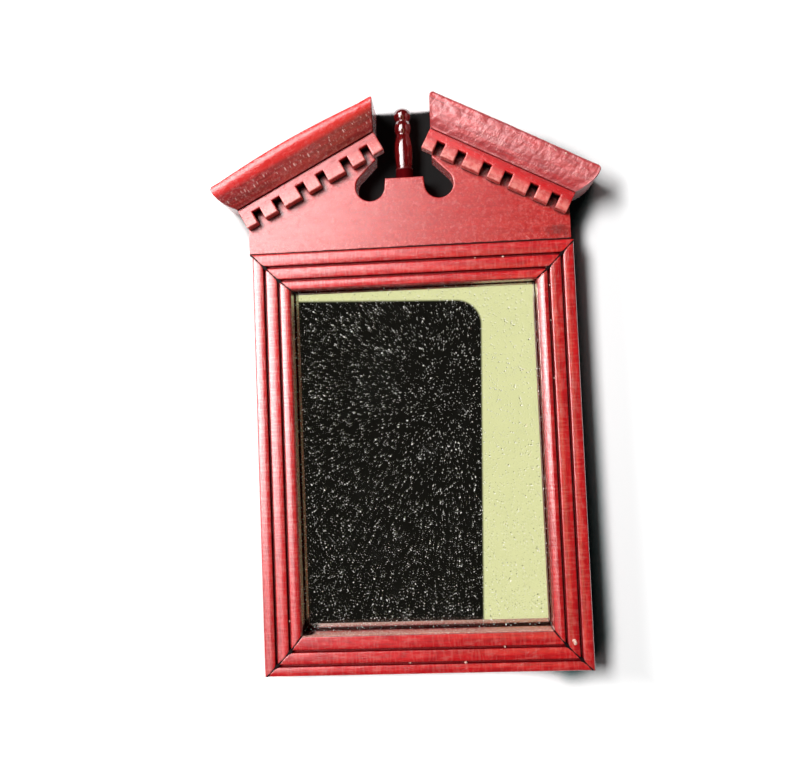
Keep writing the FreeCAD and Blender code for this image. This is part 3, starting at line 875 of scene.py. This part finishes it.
def build_crown(name, side, cut):
    """A crown for side -1, the left one, or 1."""
    mesh = bmesh.new()
    rings = [[mesh.verts.new(spot) for spot in slice_ring(height, cut)] for height in heights]
    for lower, upper in zip(rings, rings[1:]):
        for corners in zip(lower, lower[1:] + lower[:1], upper[1:] + upper[:1], upper):
            mesh.faces.new(corners)
    close_ring(mesh, rings[0])
    close_ring(mesh, rings[-1])
    rake = math.radians(RAKE)
    place = Matrix.Translation((
        PEDIMENT_SHIFT + side * (GAP_HALF + CROWN_HALF * math.cos(rake)),
        0,
        FRAME_TOP + EAVES_RISE + CROWN_HALF * math.sin(rake),
    )) @ Matrix.Rotation(side * rake, 4, "Y") @ Matrix.Diagonal((-side, 1, 1, 1))
    mesh.transform(Matrix.Scale(MM, 4) @ place)
    bmesh.ops.recalc_face_normals(mesh, faces=mesh.faces)
    data, crown = finish_mesh(f"{name}_hand_cut", mesh)
    data.shade_smooth()
    data.set_sharp_from_angle(angle=math.radians(38))
    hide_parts(name)
    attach(crown, "root")
    low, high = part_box(name)
    spots = np.array([vertex.co for vertex in data.vertices])
    print(name, "has", len(data.polygons), "faces and passes its solid by (mm)",
          np.round((np.array(low) - spots.min(0)) / MM, 2), np.round((spots.max(0) - high) / MM, 2))
    return crown


left_crown = build_crown("left_crown", -1, {
    "section": LEFT_FRONT, "top_round": 0.3, "return_round": 0.7, "gap_round": 0.6,
    "facet": 0.05, "middle_lift": 0.5, "gap_lift": -0.35, "seed": 3.0})
right_crown = build_crown("right_crown", 1, {
    "section": RIGHT_FRONT, "top_round": 0.5, "return_round": 0.9, "gap_round": 1.2,
    "facet": 0.16, "middle_lift": 0.1, "gap_lift": 0.1, "seed": 11.0})

# %% [markdown]
# Each crown has its own marks. On the left one, short nicks run in a row along the middle, where
# something hard was dragged over it, and they are painted pale as glints. Its red is painted
# brighter near the top, as painted light where the crown turns up towards the window. The right
# one was left rough: slanting cutter strokes cross it under a hazy film, the finer ones painted
# pale as highlights, and a short crack runs below its top edge at the gap.

# %% The crowns' marks and finish
PAINTED_LIGHT_RED = paint(214, 26, 26)
NICK_GLINT_PALE = paint(232, 184, 176)
NICK_LEAN = -52
GOUGE_RED = paint(146, 14, 28)
ROUGH_STAIN = (paint(158, 22, 30), paint(190, 34, 38))


def nicks_and_glints(tree, colour, height, dull):
    place = place_in_mm(tree, (0, RAKE, 0))
    leaning = drawn(tree, place, (1.6, 1, 0.5), tilt(NICK_LEAN))
    dashes = use(tree, speck_group, {
        "Place": leaning, "Cells per mm": 1.5, "Size": 0.23, "Share": 0.8})["Specks"]
    up = minus(tree, split(tree, place)["Z"], LEFT_FOOT)
    in_row = times(tree, remap(tree, up, 1.0, 1.6), remap(tree, up, 3.0, 2.4))
    dashes = times(tree, dashes, in_row)
    # Painted light: the red is brighter towards the top, which turns towards the window.
    colour = blend(tree, remap(tree, up, 2.7, 3.7), colour, PAINTED_LIGHT_RED)
    # Painted glints: the nicks are paled.
    colour = blend(tree, times(tree, dashes, 0.75), colour, NICK_GLINT_PALE)
    return colour, minus(tree, height, dashes), dull


def gouges_and_highlights(tree, colour, height, dull):
    place = place_in_mm(tree, (0, -RAKE, 0))
    coarse = use(tree, tool_group, {
        "Place": place, "Turn": tilt(76), "Stretch": (0.45, 1.0, 1.2)})["Strokes"]
    fine = use(tree, tool_group, {
        "Place": place, "Turn": tilt(84), "Stretch": (1.1, 3.4, 5.2)})["Strokes"]
    where = soft_noise(tree, place, 0.35, 2.0)
    scored = remap(tree, where, 0.46, 0.62, 0.1, 1.0)
    fine = times(tree, fine, scored)
    # Painted highlights: the finer strokes are paled.
    colour = blend(tree, remap(tree, fine, 0.6, 1.0, 0.0, 0.4), colour, PALE_WEAR_AND_SHEEN)
    colour = blend(tree, remap(tree, coarse, 0.4, 0.0, 0.0, 0.4), colour, GOUGE_RED)
    height = plus(tree, height, times(tree, coarse, 2.8))
    height = plus(tree, height, times(tree, fine, 2.2))
    across = split(tree, place_in_mm(tree))["X"]
    up = minus(tree, split(tree, place)["Z"], RIGHT_FOOT)
    crack = minus(tree, up, plus(tree, times(tree, where, 0.5), 4.0))
    crack = remap(tree, off_from(tree, crack, 0.0), 0.07, 0.03)
    crack = times(tree, crack, remap(tree, across, 7.6, 6.6))
    colour = blend(tree, crack, colour, HOLLOW_GRIME_AND_SHADE)
    return colour, minus(tree, height, crack), dull


dress(left_crown, stained_wood(
    "left crown stain", CROWN_STAIN, (0, RAKE, 0), [mottle, nicks_and_glints], gloss=0.24, coat=0.15))
dress(right_crown, stained_wood(
    "right crown stain", ROUGH_STAIN, (0, -RAKE, 0), [gouges_and_highlights], gloss=0.4, coat=1.0))

# %% [markdown]
# ## The finial
# The little turning was dipped in darker, glossier lacquer. Its highlights are small and sharp,
# so its roughness is low and only a slow ripple bends them. They stop above the foot, which is
# made darker and without gloss.

# %% The finial's finish
FINIAL_STAIN = (paint(70, 4, 6), paint(104, 10, 12))
FOOT_DARK = paint(46, 2, 8)


def dark_dull_foot(tree, colour, height, dull):
    up = split(tree, place_in_mm(tree))["Z"]
    foot = remap(tree, up, 52.2, 51.7)
    # The foot's colour is darkened and its gloss taken away.
    colour = blend(tree, times(tree, foot, 0.5), colour, FOOT_DARK)
    return colour, height, larger(tree, dull, foot)


dress(nodes["finial"], stained_wood(
    "finial stain", FINIAL_STAIN, ALONG_Z, [dark_dull_foot], gloss=0.1, pale_edges=0.1, hollow_reach=0.4,
    coat=1.0, pores=0.1, relief=0.006))

# %% [markdown]
# ## Glue in the mitres, and crumbs of filler
# The mitres don't quite close, and dark glue fills them. Each line runs from the corner of the
# opening through the crossing of the inner grooves, and runs on at 45 degrees. It is a thin slip,
# about level with the wood, where the glue was wiped off a little wider than the gap. Where two
# grooves meet, the glue has run into them, so the slip swells there. Glue, filler and the
# backing have no lacquer, so they share a plain matt finish.

# %% Glue slips
GLUE_HALF = 0.13
GLUE_FRONT = -5.58
GLUE_BACK = -0.2
SWELLING = 0.17
SWELLING_REACH = 0.32
GLUE_TONES = (paint(6, 1, 2), paint(26, 6, 7))
SIDE_REED = 2.15
TOP_REED = 1.82
BOTTOM_REED = 2.65
REED_PITCH = 2.44
TOP_RUN = 4.55
BOTTOM_RUN = 4.2


def matt_finish(tree, colour, height, relief, strength, roughness, specular=0.5):
    """A finish without lacquer, whose bumps are given in millimetres."""
    bumps = node(tree, "Bump", {"Height": height, "Distance": relief * MM, "Strength": strength})
    show(tree, node(tree, "BsdfPrincipled", {
        "Base Color": colour, "Roughness": roughness, "Specular IOR Level": specular,
        "Normal": bumps.outputs[0]}))


def glue_slip(mesh, way, crossings):
    """A thin upright slip along a way of (x, z) points, swollen where it crosses a groove."""
    points = []
    for start, end in zip(way, way[1:]):
        length = math.dist(start, end)
        count = max(2, round(length / 0.25))
        points += [tuple(np.add(start, np.subtract(end, start) * step / count))
                   for step in range(count)]
    points.append(way[-1])
    rows = []
    for number, (x, z) in enumerate(points):
        before = points[max(number - 1, 0)]
        after = points[min(number + 1, len(points) - 1)]
        along = Vector((after[0] - before[0], after[1] - before[1])).normalized()
        gap = min(math.dist((x, z), spot) for spot in crossings)
        half = GLUE_HALF * (1 + 0.05 * noise.noise(Vector((x, z, 5.0)) * 2))
        half += SWELLING * math.exp(-(gap / SWELLING_REACH) ** 2)
        front = GLUE_FRONT + 0.05 * noise.noise(Vector((x, z, 1.0)) * 1.7)
        left = (x - along.y * half, z + along.x * half)
        right = (x + along.y * half, z - along.x * half)
        rows.append([mesh.verts.new((side[0] * MM, depth * MM, side[1] * MM)) for side, depth in (
            (left, GLUE_BACK), (left, front), (right, front), (right, GLUE_BACK))])
    for row, following in zip(rows, rows[1:]):
        for corner in range(4):
            after = (corner + 1) % 4
            mesh.faces.new((row[corner], row[after], following[after], following[corner]))
    mesh.faces.new(rows[0][::-1])
    mesh.faces.new(rows[-1])


mesh = bmesh.new()
for sign_x in (-1, 1):
    for sign_z, reed, run in ((1, TOP_REED, TOP_RUN), (-1, BOTTOM_REED, BOTTOM_RUN)):
        start = (SIGHT_HALF_WIDTH + 0.05, SIGHT_HALF_HEIGHT + 0.05)
        crossing = (SIGHT_HALF_WIDTH + SIDE_REED, SIGHT_HALF_HEIGHT + reed)
        way = [start, crossing, tuple(part + run for part in crossing)]
        grooves = [crossing, tuple(part + REED_PITCH for part in crossing)]
        glue_slip(mesh, *[[(sign_x * x, sign_z * z) for x, z in spots] for spots in (way, grooves)])
bmesh.ops.recalc_face_normals(mesh, faces=mesh.faces)
data, glue = finish_mesh("glue_lines", mesh)
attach(glue, "root")
material, tree = new_material("dark glue")
place = place_in_mm(tree)
murk = soft_noise(tree, place, 3.0, 3.0)
shade = blend(tree, murk, *GLUE_TONES)
matt_finish(tree, shade, murk, relief=0.03, strength=0.8, roughness=0.6, specular=0.1)
dress(glue, material)
print("Glue slips have", len(data.polygons), "faces")

# %% [markdown]
# Crumbs of pale filler cling to the grooves, and one larger chip sits on the right stile. Each
# is a small ball whose points are pushed about by noise, flattened against the wood and sunk in
# by a third of its height, so that it rests in the piece and doesn't float. The list gives each
# one's place, across, in depth and up, and its radius.

# %% Crumbs of filler
FILLER_TONES = (paint(196, 120, 104), paint(240, 206, 188))
CRUMBS = [
    (25.29, -5.5, -32.41, 0.42), (6.55, -5.1, -35.61, 0.24), (4.23, -5.4, -33.53, 0.17),
    (13.36, -5.1, -33.05, 0.16), (16.15, -5.0, 34.6, 0.18), (23.6, -5.0, 32.6, 0.2),
    (24.0, -5.0, 22.98, 0.15), (24.05, -5.0, 12.83, 0.14), (-3.12, -5.0, -35.4, 0.2),
    (-24.0, -5.0, -27.9, 0.15), (24.1, -5.0, 29.2, 0.14), (11.2, -5.0, 34.65, 0.12),
    (27.46, -8.86, 51.34, 0.16), (25.7, -8.86, 52.0, 0.11),
]
mesh = bmesh.new()
for number, (x, depth, z, radius) in enumerate(CRUMBS):
    ball = bmesh.ops.create_icosphere(mesh, subdivisions=3, radius=1.0)["verts"]
    for corner in ball:
        spot = Vector(corner.co)
        bulge = 1 + 0.55 * noise.noise(spot * 1.3 + Vector((number * 7.0, 0, 0)))
        bulge += 0.2 * noise.noise(spot * 3.1 + Vector((0, number * 5.0, 0)))
        shaped = Vector((spot.x, spot.y * 0.55, spot.z * 1.15)) * radius * bulge
        corner.co = (Vector((x, depth, z)) + shaped) * MM
data, crumbs = finish_mesh("filler_crumbs", mesh)
data.shade_smooth()
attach(crumbs, "root")
material, tree = new_material("filler")
place = place_in_mm(tree)
murk = soft_noise(tree, place, 4.0, 3.0)
shade = blend(tree, remap(tree, murk, 0.35, 0.65), *FILLER_TONES)
matt_finish(tree, shade, murk, relief=0.05, strength=0.9, roughness=0.7)
dress(crumbs, material)
print("Crumbs:", len(CRUMBS))

# %% [markdown]
# ## The glass and the backing
# The pane is real glass, silvered on its back. That matters at its edges: between the wooden
# wall and the wall's reflection there is a dark line, which is the rabbet seen through the
# thickness of the glass. So the pane has two finishes. Its front is clear glass with dust on
# it, in three sizes and with a few hairs, which shows as pale specks where the view is dark.
# The silver shows each grain again from below, and there its colour is painted greyer, as
# painted shade for the grain's unlit underside.

# %% The dusty glass
DUST_SIZES = ((0.8, 0.19, 0.08), (3.0, 0.088, 0.25), (5.6, 0.05, 0.32))
DUST_LIT = paint(246, 244, 238)
DUST_PAINTED_SHADE = paint(140, 139, 122)
glass_front, tree = new_material("dusty clear glass")
place = place_in_mm(tree)
warp = node(tree, "TexNoise", {"Vector": place, "Scale": 2.0, "Detail": 1.0})
bent = node(tree, "VectorMath", {
    0: warp.outputs["Color"], 1: (0.5, 0.5, 0.5)}, operation="SUBTRACT")
bent = node(tree, "VectorMath", {0: bent.outputs[0], "Scale": 0.5}, operation="SCALE")
crooked = node(tree, "VectorMath", {0: place, 1: bent.outputs[0]}, operation="ADD").outputs[0]
dashed = drawn(tree, crooked, (0.8, 1, 1), tilt(-62))
dust = None
for per_mm, size, share in DUST_SIZES:
    layer = use(tree, speck_group, {
        "Place": dashed, "Cells per mm": per_mm, "Size": size, "Share": share})["Specks"]
    dust = layer if dust is None else larger(tree, dust, layer)
hair = use(tree, scratch_group, {
    "Place": place, "Turn": tilt(-50), "Width": 0.002})["Scratches"]
dust = times(tree, dust, 1.8)
dust = larger(tree, dust, times(tree, hair, 0.15))
clean = node(tree, "BsdfPrincipled", {
    "Base Color": (1, 1, 1, 1), "Roughness": 0.0, "IOR": 1.52, "Transmission Weight": 1.0})
# Painted shade: grains seen from below, in the silver, are given a greyer colour.
underside = node(tree, "NewGeometry").outputs["Backfacing"]
dust_shading = blend(tree, underside, DUST_LIT, DUST_PAINTED_SHADE)
dusty = node(tree, "BsdfPrincipled", {"Base Color": dust_shading, "Roughness": 0.9})
shader = node(tree, "MixShader", {0: dust, 1: clean.outputs[0], 2: dusty.outputs[0]})
show(tree, shader)

# %% [markdown]
# The silvering covers the back and the cut edges. The backing board touches it, and two faces
# on one plane would flicker through each other, so a Displace modifier draws the board's
# surface in by a hundredth of a millimetre. The solid itself stays as it is.

# %% Silver the back
SILVER_TONES = (paint(240, 242, 236), paint(250, 251, 247))
silvering, tree = new_material("silvering")
place = place_in_mm(tree)
cloudy = soft_noise(tree, place, 0.3, 3.0)
tone = blend(tree, cloudy, *SILVER_TONES)
silver = node(tree, "BsdfPrincipled", {"Base Color": tone, "Metallic": 1.0, "Roughness": 0.0})
show(tree, silver)

pane = nodes["mirror_glass"]
dress(pane, glass_front)
pane.data.materials.append(silvering)
pane_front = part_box("mirror_glass")[0].y
for face in pane.data.polygons:
    face.material_index = 0 if face.center.y < pane_front + 0.1 * MM else 1
drawn_in = nodes["backing_board"].modifiers.new("clear of the silver", "DISPLACE")
drawn_in.mid_level = 0
drawn_in.strength = -0.01 * MM
print("Pane:", sum(face.material_index == 0 for face in pane.data.polygons), "front faces of",
      len(pane.data.polygons))

# %% [markdown]
# The backing is a thin, bare board, which nobody sees once the mirror hangs. It has the same
# grain as the rest, upright and pale, and no film at all.

# %% The backing's finish
BARE_WOOD = (paint(176, 138, 100), paint(204, 170, 128))
BARE_PORES = paint(120, 84, 56)
material, tree = new_material("bare backing board")
place = place_in_mm(tree, ALONG_Z)
grain = use(tree, grain_group, {"Place": place})
colour = blend(tree, grain["Figure"], *BARE_WOOD)
colour = blend(tree, times(tree, grain["Pores"], 0.5), colour, BARE_PORES)
matt_finish(tree, colour, grain["Pores"], relief=0.03, strength=0.7, roughness=0.8)
dress(nodes["backing_board"], material)
